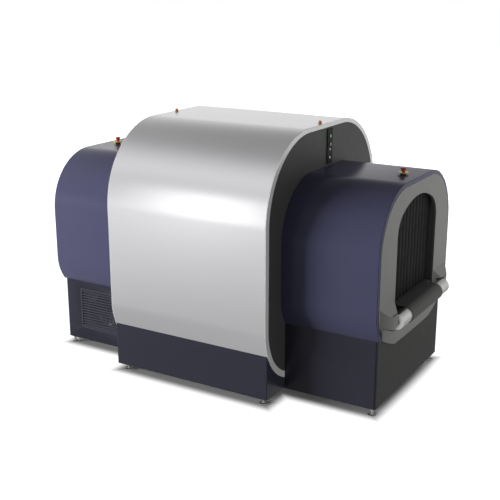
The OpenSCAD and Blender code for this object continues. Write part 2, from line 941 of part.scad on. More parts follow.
module fan_impeller() {
    blade_n = 7;
    color([0.15, 0.15, 0.16]) difference() {
        union() {
            rod_y_way(fan_y + 10, fan_y + fan_t - 12, fan_x, fan_z, fan_hub);
            for (i = [0 : blade_n - 1])
                translate([fan_x, fan_y + 29, fan_z]) rotate([0, i * 360 / blade_n, 0]) rotate([35, 0, 0])
                translate([fan_hub - 4, -1.5, -22]) cube([fan_r - fan_hub - 8, 3, 44]);
        }
        rod_y_way(fan_y + 9, fan_y + fan_t, fan_x, fan_z, 6 + shaft_fit);
    }
}

module computer() {
    slot_n = 8;
    w = bay_end - bay_x;
    h = bay_h - 52;
    front = 60;
    deep = side_hw - 191;
    pitch = (h - 50) / slot_n;
    color([0.2, 0.2, 0.21]) difference() {
        translate([-bay_end, front, frame_z]) cube([w, deep, h]);
        for (i = [0 : slot_n - 1])
            translate([20 - bay_end, front - 1, frame_z + 30 + i * pitch]) cube([w - 40, 9, 0.4 * pitch]);
    }
}

module power_unit() {
    w = bay_end - bay_x;
    h = bay_h - 82;
    hw = side_hw - 311;
    lid = 0.6 * hw;
    color([0.32, 0.33, 0.35]) {
        translate([bay_x, -hw, frame_z]) cube([w, 2 * hw, h]);
        for (s = [-1, 1]) translate([bay_x + 30, s * hw / 2 - lid / 2, frame_z + h]) cube([w - 60, lid, 25]);
    }
}

// Controls

module estop_places() {
    for (s = [-1, 1]) translate([s * estop_x, 0, hood_top]) children();
}

module estop_bases() {
    color(black) estop_places() difference() {
        cylinder(h = estop_base_h, r = estop_r);
        translate([0, 0, 3]) cylinder(h = estop_base_h, r = estop_stem_r + run_gap);
    }
}

module estop_discs() {
    color([0.9, 0.75, 0.1]) estop_places() translate([0, 0, estop_base_h]) difference() {
        cylinder(h = estop_disc_h, r = 33);
        translate([0, 0, -1]) cylinder(h = estop_disc_h + 2, r = estop_stem_r + run_gap);
    }
}

// stem, collar and mushroom, with room below for the push
module estop_head() {
    z0 = estop_base_h - estop_travel;
    up = estop_base_h + estop_disc_h + estop_travel + 1;
    translate([estop_x, 0, hood_top + up]) rotate_extrude() polygon([[0, z0 - up + 3],
        [estop_stem_r, z0 - up + 3], [estop_stem_r, 0], [estop_r * 0.8, 0], [estop_r * 0.7, 9],
        [estop_r, 14], [estop_r, 18], [estop_r * 0.75, 22], [0, 23.5]]);
}

module entry_estop() {
    color([0.75, 0.06, 0.08]) estop_head();
}

module exit_estop() {
    color([0.75, 0.06, 0.08]) at_end(-1) estop_head();
}

module control_strip() {
    color(black) difference() {
        translate([wall_x, 0, control_z]) cube([strip_x - wall_x, strip_w, control_h]);
        rod_x_way(wall_x + 1, strip_x + 1, strip_y, button_z, button_r + run_gap);
        rod_x_way(wall_x + 1, strip_x + 1, strip_y, key_z, button_r + run_gap);
        for (z = lamp_zs) rod_x_way(strip_x - 3, strip_x + 1, strip_y, z, lamp_r);
    }
}

module start_button() {
    color([0.2, 0.7, 0.25]) rod_x_way(wall_x + 4, strip_x + 4, strip_y, button_z, button_r);
}

module key_switch() {
    color(steel) difference() {
        rod_x_way(wall_x + 1, strip_x + 5, strip_y, key_z, button_r);
        translate([strip_x + 2, strip_y - 1, key_z - 6]) cube([5, 2, 12]);
    }
}

module indicator_lamps() {
    color([0.95, 0.95, 0.92]) for (z = lamp_zs) rod_x_way(strip_x - 3, strip_x + 2, strip_y, z, lamp_r);
}

module beacon_lamps() {
    color([0.85, 0.45, 0.1]) for (s = [-1, 1]) translate([s * (half - 27), -37, cover_top])
        rotate_extrude() polygon([[0, 0], [12, 0], [12, 5], [10, 6], [10, 14], [7, 18], [0, 19]]);
}

base_frame();
gantry_stand();
center_plinth();
center_cover();
entry_wall();
exit_wall();
entry_hood();
exit_hood();
entry_plinth();
exit_plinth();
end_panels();
entry_bezel();
exit_bezel();
roller_arms();
roller_axles();
roller_bearings();
vent_grille();
leveling_feet();
lock_nuts();
tunnel_liner();
entry_shield();
exit_shield();
conveyor_bed();
conveyor_legs();
conveyor_belt();
entry_roller();
exit_roller();
entry_idler();
exit_idler();
curtain_rods();
entry_curtain();
exit_curtain();
bearing_outer();
bearing_inner();
rotor_ring();
xray_tube();
collimator();
detector_array();
hv_generator();
tube_cooler();
data_module();
counterweight();
slip_ring();
brush_block();
gantry_motor();
motor_pulley();
drive_belt();
fan_frame();
fan_impeller();
computer();
power_unit();
estop_bases();
estop_discs();
entry_estop();
exit_estop();
control_strip();
start_button();
key_switch();
indicator_lamps();
beacon_lamps();
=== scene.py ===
import math
import random

import bpy
from mathutils import Matrix, Vector


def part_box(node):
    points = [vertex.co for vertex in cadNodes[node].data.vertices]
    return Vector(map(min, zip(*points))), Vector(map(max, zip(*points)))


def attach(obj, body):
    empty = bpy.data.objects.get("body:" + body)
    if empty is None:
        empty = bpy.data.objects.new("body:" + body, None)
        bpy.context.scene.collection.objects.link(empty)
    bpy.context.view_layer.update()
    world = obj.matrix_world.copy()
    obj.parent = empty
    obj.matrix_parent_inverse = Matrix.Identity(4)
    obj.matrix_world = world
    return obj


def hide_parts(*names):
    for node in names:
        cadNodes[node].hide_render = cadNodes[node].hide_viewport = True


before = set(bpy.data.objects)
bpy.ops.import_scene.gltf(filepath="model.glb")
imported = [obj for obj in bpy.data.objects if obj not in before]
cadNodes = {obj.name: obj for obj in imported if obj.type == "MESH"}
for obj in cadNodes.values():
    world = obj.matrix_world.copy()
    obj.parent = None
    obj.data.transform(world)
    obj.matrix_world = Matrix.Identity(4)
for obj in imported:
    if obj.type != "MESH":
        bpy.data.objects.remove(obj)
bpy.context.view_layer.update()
scene = bpy.context.scene
mergeDistance = 0.00002
tolerance = 0.0005  # for finding points and faces by their place
flatAngle = 0.6  # degrees, below which a node's triangles are one face
print("frame loaded:", len(cadNodes), "nodes")


# selecting and editing

def deselectAll():
    if bpy.context.object and bpy.context.object.mode != "OBJECT":
        bpy.ops.object.mode_set(mode="OBJECT")
    bpy.ops.object.select_all(action="DESELECT")


def makeActive(piece):
    deselectAll()
    piece.select_set(True)
    bpy.context.view_layer.objects.active = piece


def editAll(piece):
    makeActive(piece)
    bpy.ops.object.mode_set(mode="EDIT")
    bpy.ops.mesh.select_mode(type="VERT")
    bpy.ops.mesh.select_all(action="SELECT")


def startSelecting(piece, kind):
    makeActive(piece)
    bpy.ops.object.mode_set(mode="EDIT")
    bpy.ops.mesh.select_mode(type=kind)
    bpy.ops.mesh.select_all(action="DESELECT")
    bpy.ops.object.mode_set(mode="OBJECT")


def editPoints(piece, test):
    startSelecting(piece, "VERT")
    for point in piece.data.vertices:
        point.select = test(point.co)
    bpy.ops.object.mode_set(mode="EDIT")


def editEdges(piece, test):  # test gets the edge's two points
    startSelecting(piece, "EDGE")
    points = piece.data.vertices
    for edge in piece.data.edges:
        edge.select = test(points[edge.vertices[0]].co, points[edge.vertices[1]].co)
    bpy.ops.object.mode_set(mode="EDIT")


def editFaces(piece, test):
    startSelecting(piece, "FACE")
    for face in piece.data.polygons:
        face.select = test(face)
    bpy.ops.object.mode_set(mode="EDIT")


def leaveEdit():
    bpy.ops.object.mode_set(mode="OBJECT")


def applyModifier(piece, kind, **settings):
    makeActive(piece)
    modifier = piece.modifiers.new(kind.lower(), kind)
    for key, value in settings.items():
        setattr(modifier, key, value)
    bpy.ops.object.modifier_apply(modifier=modifier.name)


def mergePoints():
    bpy.ops.mesh.select_all(action="SELECT")
    bpy.ops.mesh.remove_doubles(threshold=mergeDistance)
    bpy.ops.mesh.select_all(action="SELECT")


def faceOutward(piece, way=None):  # way is where the farthest face of an open sheet looks
    editAll(piece)
    mergePoints()
    bpy.ops.mesh.normals_make_consistent(inside=False)
    leaveEdit()
    if way:
        farthest = max(piece.data.polygons, key=lambda face: face.center.dot(Vector(way)))
        if farthest.normal.dot(Vector(way)) < 0:
            piece.data.flip_normals()


def joinPieces(pieces, name):
    deselectAll()
    for piece in pieces:
        piece.select_set(True)
    bpy.context.view_layer.objects.active = pieces[0]
    if len(pieces) > 1:
        bpy.ops.object.join()
    joined = bpy.context.view_layer.objects.active
    joined.name = name
    return joined


def copyPiece(piece, name, move=(0, 0, 0), flip=(1, 1, 1)):
    other = piece.copy()
    other.data = piece.data.copy()
    other.name = name
    scene.collection.objects.link(other)
    other.data.transform(Matrix.Translation(move) @ Matrix.Diagonal((*flip, 1)))
    if flip[0] * flip[1] * flip[2] < 0:
        other.data.flip_normals()
    return other


def softenEdges(piece, width, segments=2, angle=35):
    makeActive(piece)
    bpy.ops.object.shade_smooth()
    applyModifier(piece, "BEVEL", width=width, segments=segments, limit_method="ANGLE",
                  angle_limit=math.radians(angle), miter_outer="MITER_ARC", use_clamp_overlap=True)
    applyModifier(piece, "WEIGHTED_NORMAL", weight=50, keep_sharp=True)


def smoothByAngle(piece, angle):
    makeActive(piece)
    bpy.ops.object.shade_smooth_by_angle(angle=math.radians(angle))


def nodeCopy(node, name):  # the node's triangles merged into plain faces
    piece = bpy.data.objects.new(name, cadNodes[node].data.copy())
    scene.collection.objects.link(piece)
    piece.data.materials.clear()
    editAll(piece)
    bpy.ops.mesh.customdata_custom_splitnormals_clear()
    mergePoints()
    bpy.ops.mesh.dissolve_limited(angle_limit=math.radians(flatAngle))
    leaveEdit()
    return piece


def finishPiece(piece, material, nodes, body="scanner"):
    piece.data.materials.clear()
    piece.data.materials.append(material)
    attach(piece, body)
    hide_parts(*nodes)
    return piece


def paintFaces(piece, material, test):  # a second material on some of its faces
    piece.data.materials.append(material)
    for face in piece.data.polygons:
        face.material_index = 1 if test(face) else 0


# drawing paths of edges from a single point

def startPath(name, y, z, x=0):
    deselectAll()
    bpy.ops.mesh.primitive_plane_add(size=0.01)
    piece = bpy.context.object
    piece.name = name
    editAll(piece)
    bpy.ops.mesh.merge(type="CENTER")
    bpy.ops.transform.translate(value=(x, y, z))
    return piece


def drawLine(dy, dz, dx=0):
    bpy.ops.mesh.extrude_region_move(TRANSFORM_OT_translate={"value": (dx, dy, dz)})


def drawArc(y, z, degrees, steps):
    bpy.ops.mesh.spin(steps=steps, angle=math.radians(degrees), center=(0, y, z), axis=(1, 0, 0))


def drawCorner(x, y, z, steps):  # a quarter turn to the left, seen from above
    bpy.ops.mesh.spin(steps=steps, angle=math.pi / 2, center=(x, y, z), axis=(0, 0, -1))


def roundPath(name, shape, inset, lowAngle):  # from lower front over the top to lower back
    topIn = shape["halfWidth"] - shape["topRadius"]
    lowIn = shape["halfWidth"] - shape["lowRadius"]
    topZ = shape["top"] - shape["topRadius"]
    lowRadius = shape["lowRadius"] - inset
    turn = math.radians(lowAngle)
    lowSteps = max(4, int(shape["arcSteps"] * lowAngle / 90))
    path = startPath(name, -lowIn - lowRadius * math.cos(turn),
                     shape["lowZ"] - lowRadius * math.sin(turn))
    drawArc(-lowIn, shape["lowZ"], lowAngle, lowSteps)
    drawLine(0, topZ - shape["lowZ"])
    drawArc(-topIn, topZ, 90, shape["arcSteps"])
    drawLine(2 * topIn, 0)
    drawArc(topIn, topZ, 90, shape["arcSteps"])
    drawLine(0, shape["lowZ"] - topZ)
    drawArc(lowIn, shape["lowZ"], lowAngle, lowSteps)
    leaveEdit()
    return path


def lathe(name, axis, centre, profile, steps):  # profile is a list of (along the axis, radius)
    def place(along, radius):
        if axis == "X":
            return Vector((centre[0] + along, centre[1], centre[2] + radius))
        if axis == "Y":
            return Vector((centre[0] + radius, centre[1] + along, centre[2]))
        return Vector((centre[0] + radius, centre[1], centre[2] + along))
    spots = [place(*row) for row in profile]
    piece = startPath(name, spots[0].y, spots[0].z, spots[0].x)
    for before, after in zip(spots, spots[1:]):
        drawLine(after.y - before.y, after.z - before.z, after.x - before.x)
    bpy.ops.mesh.select_all(action="SELECT")
    way = {"X": (1, 0, 0), "Y": (0, 1, 0), "Z": (0, 0, 1)}[axis]
    bpy.ops.mesh.spin(steps=steps, angle=math.tau, center=centre, axis=way)
    leaveEdit()
    faceOutward(piece)
    return piece


def ringProfile(inner, outer, height):
    return [(0, inner), (0, outer), (height, outer), (height, inner), (0, inner)]


# finishes

def tone(red, green, blue):  # screen colour to light
    def light(value):
        value /= 255
        return value / 12.92 if value <= 0.04045 else ((value + 0.055) / 1.055) ** 2.4
    return (light(red), light(green), light(blue), 1)


def newGroup(name, inputs, outputs):
    group = bpy.data.node_groups.new(name, "ShaderNodeTree")
    for label, kind, value in inputs:
        socket = group.interface.new_socket(label, in_out="INPUT", socket_type=kind)
        socket.default_value = value
    for label, kind in outputs:
        group.interface.new_socket(label, in_out="OUTPUT", socket_type=kind)
    return group, group.nodes.new("NodeGroupInput"), group.nodes.new("NodeGroupOutput")


def addNode(tree, kind, **values):
    node = tree.nodes.new(kind)
    for key, value in values.items():
        if hasattr(node, key):
            setattr(node, key, value)
        else:
            node.inputs[key].default_value = value
    return node


def mathNode(tree, operation, first, second):
    node = addNode(tree, "ShaderNodeMath", operation=operation)
    for socket, value in zip(node.inputs, (first, second)):
        if isinstance(value, (int, float)):
            socket.default_value = value
        else:
            tree.links.new(value, socket)
    return node.outputs[0]


def noiseNode(tree, vector, scale, detail, rough=0.5):
    node = addNode(tree, "ShaderNodeTexNoise", Detail=detail, Roughness=rough)
    tree.links.new(vector, node.inputs["Vector"])
    if isinstance(scale, (int, float)):
        node.inputs["Scale"].default_value = scale
    else:
        tree.links.new(scale, node.inputs["Scale"])
    return node.outputs["Fac"]


def tintColour(tree, colour, factor):  # colour times a number
    node = addNode(tree, "ShaderNodeVectorMath", operation="SCALE")
    tree.links.new(colour, node.inputs[0])
    tree.links.new(factor, node.inputs["Scale"])
    return node.outputs[0]


grainLook = {"cloudScale": 2.3, "cloudDetail": 4, "fineDetail": 2, "smearScale": 14,
             "smearDetail": 5, "smearRough": 0.6}
dustLook = {"tone": (0.5, 0.49, 0.47, 1), "scale": 5, "detail": 5, "rough": 0.65, "from": 0.45}
brushLook = {"scale": 1.0, "detail": 6, "rough": 0.7}
midGrey = (0.5, 0.5, 0.5, 1)


def buildGrain():  # cloudy tint, fine roughness and fine height
    group, start, end = newGroup(
        "surfaceGrain",
        [("Colour", "NodeSocketColor", midGrey), ("Tint", "NodeSocketFloat", 0.05),
         ("Roughness", "NodeSocketFloat", 0.4), ("Spread", "NodeSocketFloat", 0.05),
         ("Grain", "NodeSocketFloat", 900.0)],
        [("Colour", "NodeSocketColor"), ("Roughness", "NodeSocketFloat"),
         ("Height", "NodeSocketFloat")])
    place = addNode(group, "ShaderNodeTexCoord").outputs["Object"]
    cloud = noiseNode(group, place, grainLook["cloudScale"], grainLook["cloudDetail"])
    fine = noiseNode(group, place, start.outputs["Grain"], grainLook["fineDetail"])
    smear = noiseNode(group, place, grainLook["smearScale"], grainLook["smearDetail"],
                      grainLook["smearRough"])
    cloudShift, fineShift, smearShift = [mathNode(group, "SUBTRACT", noise, 0.5)
                                         for noise in (cloud, fine, smear)]
    shift = mathNode(group, "MULTIPLY", cloudShift, start.outputs["Tint"])
    speck = mathNode(group, "MULTIPLY", fineShift, start.outputs["Tint"])
    factor = mathNode(group, "ADD", mathNode(group, "ADD", shift, speck), 1.0)
    group.links.new(tintColour(group, start.outputs["Colour"], factor), end.inputs["Colour"])
    uneven = mathNode(group, "ADD", smearShift, fineShift)
    rough = mathNode(group, "ADD", start.outputs["Roughness"],
                     mathNode(group, "MULTIPLY", uneven, start.outputs["Spread"]))
    group.links.new(rough, end.inputs["Roughness"])
    group.links.new(fine, end.inputs["Height"])
    return group


def buildDust():  # a thin film on what faces up, thicker in patches
    group, start, end = newGroup(
        "dustFilm",
        [("Colour", "NodeSocketColor", midGrey), ("Roughness", "NodeSocketFloat", 0.4),
         ("Dust", "NodeSocketColor", dustLook["tone"]), ("Amount", "NodeSocketFloat", 0.1)],
        [("Colour", "NodeSocketColor"), ("Roughness", "NodeSocketFloat")])
    up = addNode(group, "ShaderNodeSeparateXYZ")
    group.links.new(addNode(group, "ShaderNodeNewGeometry").outputs["Normal"], up.inputs[0])
    place = addNode(group, "ShaderNodeTexCoord").outputs["Object"]
    patch = noiseNode(group, place, dustLook["scale"], dustLook["detail"], dustLook["rough"])
    facing = addNode(group, "ShaderNodeMapRange",
                     **{"From Min": dustLook["from"], "From Max": 1.0})
    group.links.new(up.outputs["Z"], facing.inputs["Value"])
    mask = mathNode(group, "MULTIPLY", mathNode(group, "MULTIPLY", facing.outputs[0], patch),
                    start.outputs["Amount"])
    mix = addNode(group, "ShaderNodeMix", data_type="RGBA")
    group.links.new(mask, mix.inputs[0])
    group.links.new(start.outputs["Colour"], mix.inputs[6])
    group.links.new(start.outputs["Dust"], mix.inputs[7])
    group.links.new(mix.outputs[2], end.inputs["Colour"])
    rough = mathNode(group, "ADD", start.outputs["Roughness"], mask)
    group.links.new(rough, end.inputs["Roughness"])
    return group


def buildBrush():  # long marks, stretched by the mapping's scale
    group, start, end = newGroup(
        "brushMarks",
        [("Stretch", "NodeSocketVector", (1, 1, 1)), ("Roughness", "NodeSocketFloat", 0.3),
         ("Spread", "NodeSocketFloat", 0.2), ("Colour", "NodeSocketColor", midGrey)],
        [("Colour", "NodeSocketColor"), ("Roughness", "NodeSocketFloat"),
         ("Height", "NodeSocketFloat")])
    place = addNode(group, "ShaderNodeTexCoord").outputs["Object"]
    stretch = addNode(group, "ShaderNodeVectorMath", operation="MULTIPLY")
    group.links.new(place, stretch.inputs[0])
    group.links.new(start.outputs["Stretch"], stretch.inputs[1])
    marks = noiseNode(group, stretch.outputs[0], brushLook["scale"], brushLook["detail"],
                      brushLook["rough"])
    shift = mathNode(group, "MULTIPLY", mathNode(group, "SUBTRACT", marks, 0.5),
                     start.outputs["Spread"])
    rough = mathNode(group, "ADD", start.outputs["Roughness"], shift)
    group.links.new(rough, end.inputs["Roughness"])
    factor = mathNode(group, "SUBTRACT", 1.0, shift)
    group.links.new(tintColour(group, start.outputs["Colour"], factor), end.inputs["Colour"])
    group.links.new(marks, end.inputs["Height"])
    return group


surfaceGrain, dustFilm, brushMarks = buildGrain(), buildDust(), buildBrush()


def blankMaterial(name):
    material = bpy.data.materials.new(name)
    material.use_nodes = True
    return material, material.node_tree, material.node_tree.nodes["Principled BSDF"]


def addBump(tree, shader, height, strength, distance):
    bump = addNode(tree, "ShaderNodeBump", Strength=strength, Distance=distance)
    tree.links.new(height, bump.inputs["Height"])
    tree.links.new(bump.outputs[0], shader.inputs["Normal"])


def placeGroup(tree, group, **values):
    node = tree.nodes.new("ShaderNodeGroup")
    node.node_tree = group
    for key, value in values.items():
        node.inputs[key].default_value = value
    return node


def coatedFinish(name, colour, rough, spread, grain, bump, tint, dust=0.0, specular=0.5, coat=0.0,
                 metallic=0.0):
    material, tree, shader = blankMaterial(name)
    base = placeGroup(tree, surfaceGrain, Colour=colour, Tint=tint, Roughness=rough, Spread=spread,
                      Grain=grain)
    last = base
    if dust:
        last = placeGroup(tree, dustFilm, Amount=dust)
        tree.links.new(base.outputs["Colour"], last.inputs["Colour"])
        tree.links.new(base.outputs["Roughness"], last.inputs["Roughness"])
    tree.links.new(last.outputs["Colour"], shader.inputs["Base Color"])
    tree.links.new(last.outputs["Roughness"], shader.inputs["Roughness"])
    addBump(tree, shader, base.outputs["Height"], bump, bumpHeight["coated"])
    shader.inputs["Specular IOR Level"].default_value = specular
    shader.inputs["Coat Weight"].default_value = coat
    shader.inputs["Metallic"].default_value = metallic
    return material


def brushedFinish(name, colour, rough, spread, stretch):
    material, tree, shader = blankMaterial(name)
    base = placeGroup(tree, brushMarks, Stretch=stretch, Roughness=rough, Spread=spread,
                      Colour=colour)
    tree.links.new(base.outputs["Colour"], shader.inputs["Base Color"])
    tree.links.new(base.outputs["Roughness"], shader.inputs["Roughness"])
    addBump(tree, shader, base.outputs["Height"], brushedBump, bumpHeight["brushed"])
    shader.inputs["Metallic"].default_value = 1.0
    return material


bumpHeight = {"coated": 0.0004, "brushed": 0.0003}
brushedBump = 0.05

navyPaint = coatedFinish("navy_paint", tone(71, 71, 96), rough=0.18, spread=0.05, grain=700,
                         bump=0.015, tint=0.08, dust=0.04, specular=0.08)
# the plinths' navy is the hood's paint made darker and greyer, a painted shade for their low place
plinthNavyShade = coatedFinish("plinth_navy_shade", tone(43, 43, 54), rough=0.3, spread=0.05, grain=700,
                          bump=0.03, tint=0.08, dust=0.05, specular=0.2)
silverPaint = coatedFinish("silver_paint", tone(222, 222, 224), rough=0.3, spread=0.04,
                           grain=1600, bump=0.03, tint=0.03, dust=0.03, metallic=0.95)
# the cover's rim is the same silver paint, made less metallic so that it reads pale, a painted
# highlight
rimPaintedHighlight = coatedFinish("rim_painted_highlight", tone(222, 222, 222), rough=0.34, spread=0.05, grain=1400,
                         bump=0.03, tint=0.04, metallic=0.35)
charcoalPaint = coatedFinish("charcoal_paint", tone(45, 45, 44), rough=0.55, spread=0.1,
                             grain=1200, bump=0.12, tint=0.12, specular=0.2)
wallGrey = coatedFinish("wall_grey", tone(54, 54, 53), rough=0.5, spread=0.1, grain=1200,
                        bump=0.1, tint=0.1, specular=0.3)
bezelGrey = coatedFinish("bezel_grey", tone(112, 112, 110), rough=0.46, spread=0.08, grain=1100,
                         bump=0.08, tint=0.06, dust=0.06)
grilleNavy = coatedFinish("grille_navy", tone(48, 48, 60), rough=0.42, spread=0.08, grain=900,
                          bump=0.05, tint=0.1, dust=0.05)
frameGrey = coatedFinish("frame_grey", tone(92, 95, 100), rough=0.5, spread=0.1, grain=600,
                         bump=0.12, tint=0.12, dust=0.15)
shieldGrey = coatedFinish("shield_grey", tone(100, 102, 106), rough=0.55, spread=0.1, grain=600,
                          bump=0.1, tint=0.1)
linerCream = coatedFinish("liner_cream", tone(222, 221, 214), rough=0.45, spread=0.08,
                          grain=500, bump=0.06, tint=0.05)
beltRubber = coatedFinish("belt_rubber", tone(62, 62, 61), rough=0.62, spread=0.12, grain=1500,
                          bump=0.25, tint=0.16, dust=0.04)
curtainRubber = coatedFinish("curtain_rubber", tone(14, 14, 15), rough=0.62, spread=0.14,
                             grain=260, bump=0.1, tint=0.2, specular=0.1)
darkMetal = coatedFinish("dark_metal", tone(82, 84, 88), rough=0.45, spread=0.1, grain=700,
                         bump=0.08, tint=0.12)
boardGreen = coatedFinish("board_green", tone(72, 98, 84), rough=0.45, spread=0.1, grain=700,
                          bump=0.08, tint=0.12)
panelBlack = coatedFinish("panel_black", tone(16, 16, 17), rough=0.5, spread=0.1, grain=1000,
                          bump=0.08, tint=0.15, specular=0.1)
blackPlastic = coatedFinish("black_plastic", tone(20, 20, 21), rough=0.4, spread=0.1,
                            grain=1000, bump=0.08, tint=0.15)
stopYellow = coatedFinish("stop_yellow", tone(200, 176, 50), rough=0.32, spread=0.06, grain=900,
                          bump=0.04, tint=0.06)
stopRed = coatedFinish("stop_red", tone(172, 30, 34), rough=0.28, spread=0.06, grain=900,
                       bump=0.03, tint=0.06, coat=0.4)
buttonGreen = coatedFinish("button_green", tone(70, 176, 82), rough=0.25, spread=0.05,
                           grain=900, bump=0.02, tint=0.1, coat=0.5)
lampWhite = coatedFinish("lamp_white", tone(226, 226, 220), rough=0.25, spread=0.05, grain=900,
                         bump=0.02, tint=0.05, coat=0.5)
lampAmber = coatedFinish("lamp_amber", tone(166, 100, 44), rough=0.25, spread=0.05, grain=900,
                         bump=0.02, tint=0.08, coat=0.5)
keySteel = brushedFinish("key_steel", tone(128, 128, 130), rough=0.4, spread=0.25,
                         stretch=(300, 300, 60))
capSteel = brushedFinish("cap_steel", tone(244, 244, 243), rough=0.36, spread=0.12,
                         stretch=(220, 30, 220))
turnedSteel = brushedFinish("turned_steel", tone(188, 188, 186), rough=0.3, spread=0.25,
                            stretch=(30, 700, 30))
brushedSteel = brushedFinish("brushed_steel", tone(190, 190, 189), rough=0.34, spread=0.25,
                             stretch=(300, 40, 300))
machinedAlloy = brushedFinish("machined_alloy", tone(196, 198, 202), rough=0.36, spread=0.25,
                              stretch=(500, 60, 60))
turnedBrass = brushedFinish("turned_brass", tone(200, 166, 104), rough=0.32, spread=0.25,
                            stretch=(60, 300, 300))
print("finishes made")


# camera and light, at the photograph's viewing angle

view = {"place": (2.9915, -5.0329, 2.4297), "turn": 30.615, "pitch": 16.371, "lens": 66.15,
        "sensor": 36.0}
cameraData = bpy.data.cameras.new("camera")
cameraData.lens = view["lens"]
cameraData.sensor_width = view["sensor"]
camera = bpy.data.objects.new("camera", cameraData)
camera.location = view["place"]
camera.rotation_euler = (math.radians(90 - view["pitch"]), 0, math.radians(view["turn"]))
scene.collection.objects.link(camera)
scene.camera = camera
scene.view_settings.view_transform = "Standard"

# mirrorNear and mirrorFar set a painted shade, the floor's glow as metal sees it, dimmer near the
# machine; contact sets a painted contact shade round the footprint
studio = {"ambient": 0.17, "tilt": (0.0, 0.316, 0.949), "aim": (0, 0, 0.8), "floorSize": 60,
          "floorTone": 0.42, "floorGlow": 0.97, "contact": (-0.03, 0.07),
          "mirrorNear": (1.6, 0.5), "mirrorFar": (5.0, 0.97)}
softboxes = {
    "key_softbox": {"place": (-12.0, -9.5, 2.2), "size": (9.0, 3.2), "power": 3850,
                    "mirrored": False, "shadow": True},
    "front_softbox": {"place": (-1.42, -3.3, 1.38), "size": (0.85, 1.7), "power": 7,
                      "mirrored": True, "shadow": True},
    "back_softbox": {"place": (-3.3, 4.9, 2.4), "size": (5.0, 1.4), "power": 6,
                     "mirrored": True, "shadow": True},
    "rear_softbox": {"place": (-2.6, 11.0, 2.2), "size": (5.0, 3.2), "power": 1700,
                     "mirrored": False, "shadow": True},
    "fill_softbox": {"place": (6.6, 2.4, 1.3), "size": (2.5, 2.0), "power": 160,
                     "mirrored": False, "shadow": False},
}
# how bright metal sees the studio, from the front to the dim ceiling
horizon = [(0.04, 0.68), (0.215, 0.74), (0.386, 0.97), (0.54, 0.86), (0.665, 0.67), (0.76, 0.42),
           (0.82, 0.33), (1.0, 0.3)]


def mirrorMask(tree, path):  # one for rays that come from a mirroring surface
    return mathNode(tree, "MAXIMUM", path.outputs["Is Glossy Ray"],
                    path.outputs["Is Transmission Ray"])


def buildWorld():
    world = bpy.data.worlds.new("studio")
    scene.world = world
    world.use_nodes = True
    tree = world.node_tree
    back = tree.nodes["Background"]
    place = addNode(tree, "ShaderNodeTexCoord")
    lean = addNode(tree, "ShaderNodeVectorMath", operation="DOT_PRODUCT")
    lean.inputs[1].default_value = Vector(studio["tilt"]).normalized()
    tree.links.new(place.outputs["Generated"], lean.inputs[0])
    share = mathNode(tree, "MULTIPLY", mathNode(tree, "ADD", lean.outputs["Value"], 1.0), 0.5)
    ramp = addNode(tree, "ShaderNodeValToRGB")
    stops = ramp.color_ramp.elements
    while len(stops) < len(horizon):
        stops.new(1.0)
    for stop, (height, level) in zip(stops, horizon):
        stop.position = (height + 1) / 2
        stop.color = (level, level, level, 1)
    tree.links.new(share, ramp.inputs[0])
    path = addNode(tree, "ShaderNodeLightPath")
    mirrored = mirrorMask(tree, path)
    lit = addNode(tree, "ShaderNodeMix", data_type="FLOAT")
    tree.links.new(mirrored, lit.inputs[0])
    lit.inputs[2].default_value = studio["ambient"]
    tree.links.new(ramp.outputs["Color"], lit.inputs[3])
    level = addNode(tree, "ShaderNodeMix", data_type="FLOAT")
    tree.links.new(path.outputs["Is Camera Ray"], level.inputs[0])
    tree.links.new(lit.outputs[0], level.inputs[2])
    level.inputs[3].default_value = 1.0
    back.inputs["Color"].default_value = (1, 1, 1, 1)
    tree.links.new(level.outputs[0], back.inputs["Strength"])


def addSoftbox(name, place, size, power, mirrored, shadow):
    lamp = bpy.data.lights.new(name, "AREA")
    lamp.shape = "RECTANGLE"
    lamp.size, lamp.size_y = size
    lamp.energy = power
    lamp.use_shadow = shadow
    holder = bpy.data.objects.new(name, lamp)
    holder.location = place
    holder.visible_glossy = mirrored
    holder.visible_camera = False
    toward = Vector(studio["aim"]) - Vector(place)
    holder.rotation_euler = toward.to_track_quat("-Z", "Y").to_euler()
    scene.collection.objects.link(holder)


